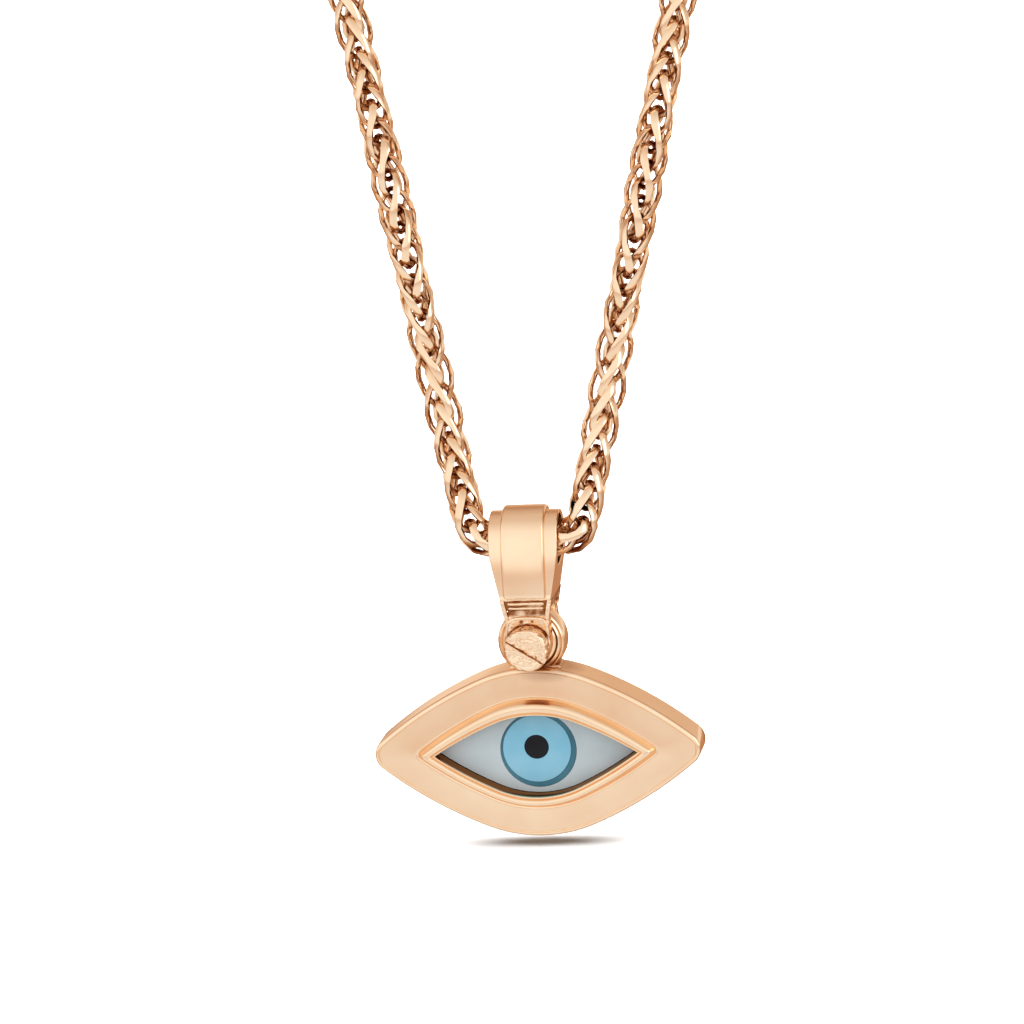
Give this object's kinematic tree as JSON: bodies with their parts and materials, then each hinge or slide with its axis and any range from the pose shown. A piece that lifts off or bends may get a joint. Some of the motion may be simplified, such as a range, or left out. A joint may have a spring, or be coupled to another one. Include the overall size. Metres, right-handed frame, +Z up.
{
  "type": "evil eye pendant on a neck chain",
  "caption": "Eye-shaped pendant with an enamelled eye, hinged by a slotted screw to a bail that swings on a woven neck chain with a barrel clasp.",
  "frame": {"origin": "the point of the wearer's nape that the clasp lies against", "axes": "-Y is the front, where the pendant hangs, +X is the wearer's left and +Z is up"},
  "size_m": [0.0964, 0.0992, 0.2618],
  "materials": {
    "chain_gold": "polished rose gold",
    "clasp_gold": "polished rose gold",
    "bail_gold": "polished rose gold",
    "screw_gold": "polished rose gold",
    "frame_gold": "polished rose gold",
    "white_enamel": "glossy, milky",
    "dark_blue_enamel": "glossy",
    "light_blue_enamel": "glossy",
    "black_enamel": "glossy"
  },
  "bodies": {
    "chain": {"neck_chain": "chain_gold", "clasp": "clasp_gold"},
    "bail": {"bail": "bail_gold", "bail_screw": "screw_gold"},
    "pendant": {"eye_frame": "frame_gold", "white_inlay": "white_enamel", "iris_ring": "dark_blue_enamel", "iris_disc": "light_blue_enamel", "pupil": "black_enamel"}
  },
  "joints": [
    {"name": "bail_swing", "type": "hinge", "parent": "chain", "child": "bail", "pos_m": [0, -0.092, -0.24], "axis": [1, 0, 0], "range_deg": [-90, 90]},
    {"name": "eye_swing", "type": "hinge", "parent": "bail", "child": "pendant", "pos_m": [0, -0.092, -0.2468], "axis": [0, 1, 0], "range_deg": [-60, 60]}
  ]
}
